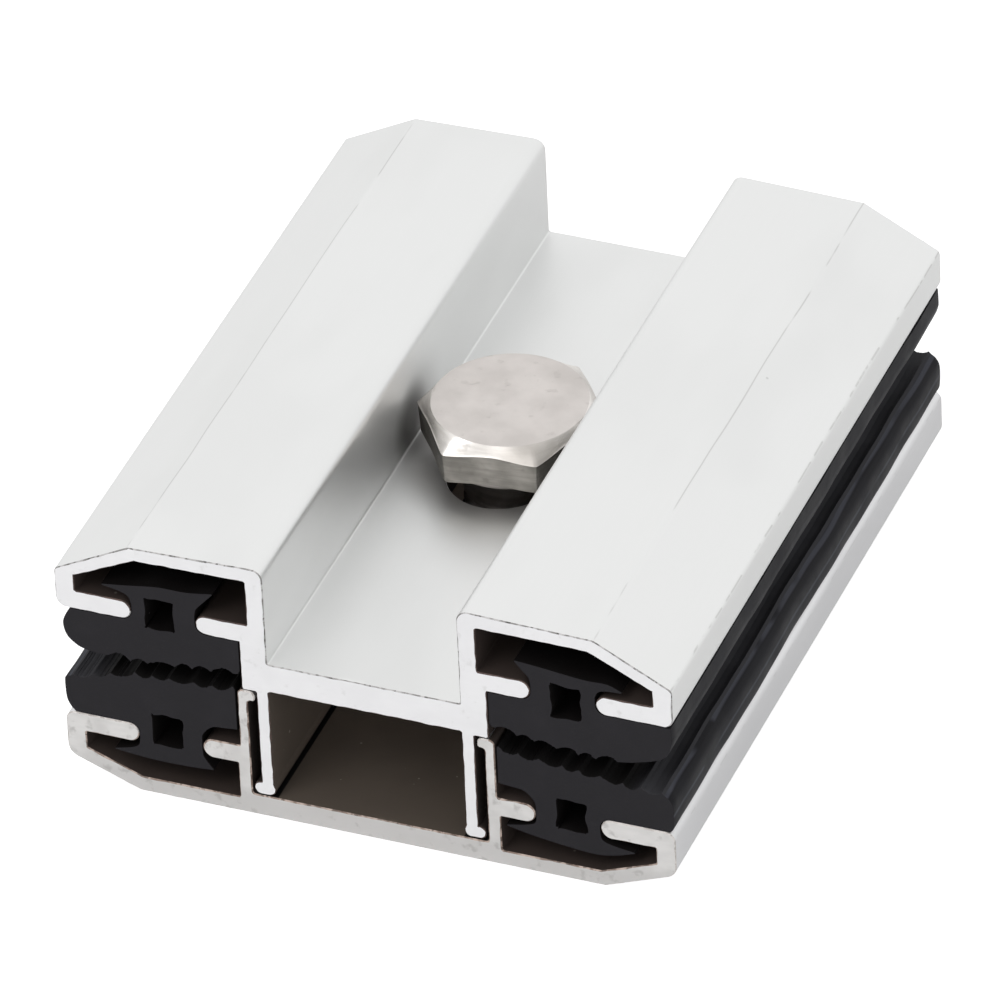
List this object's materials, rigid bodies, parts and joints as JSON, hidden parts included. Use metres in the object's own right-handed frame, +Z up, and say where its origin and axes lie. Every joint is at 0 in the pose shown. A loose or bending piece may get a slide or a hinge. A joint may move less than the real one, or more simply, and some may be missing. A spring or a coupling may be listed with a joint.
{
  "type": "solar mid clamp",
  "caption": "Mid clamp for frameless solar panels: two nesting aluminium rails with rubber strips in their wings and a loose hex bolt standing in the middle channel.",
  "frame": {"origin": "middle of the base rail's underside", "axes": "+X across the clamp, +Y along the extrusions, +Z up through the bolt"},
  "size_m": [0.05, 0.06, 0.0234],
  "materials": {
    "top_aluminium": "satin anodised, with fine die lines",
    "base_aluminium": "satin anodised, with small pits on the cut ends",
    "rubber": "charcoal extruded rubber, faintly glossy along its sides",
    "stainless": "worn stainless steel"
  },
  "bodies": {
    "base": {"base_rail": "base_aluminium", "lower_left_gasket": "rubber", "lower_right_gasket": "rubber"},
    "top": {"top_rail": "top_aluminium", "upper_left_gasket": "rubber", "upper_right_gasket": "rubber"},
    "bolt": {"hex_bolt": "stainless"}
  },
  "joints": [
    {"name": "top_lift", "type": "slide", "parent": "base", "child": "top", "axis": [0, 0, 1], "range_m": [0, 0.0073]},
    {"name": "bolt_turn", "type": "hinge", "parent": "top", "child": "bolt", "pos_m": [0.0003, 0.0007, 0.0157], "axis": [0, 0, 1], "continuous": true}
  ]
}
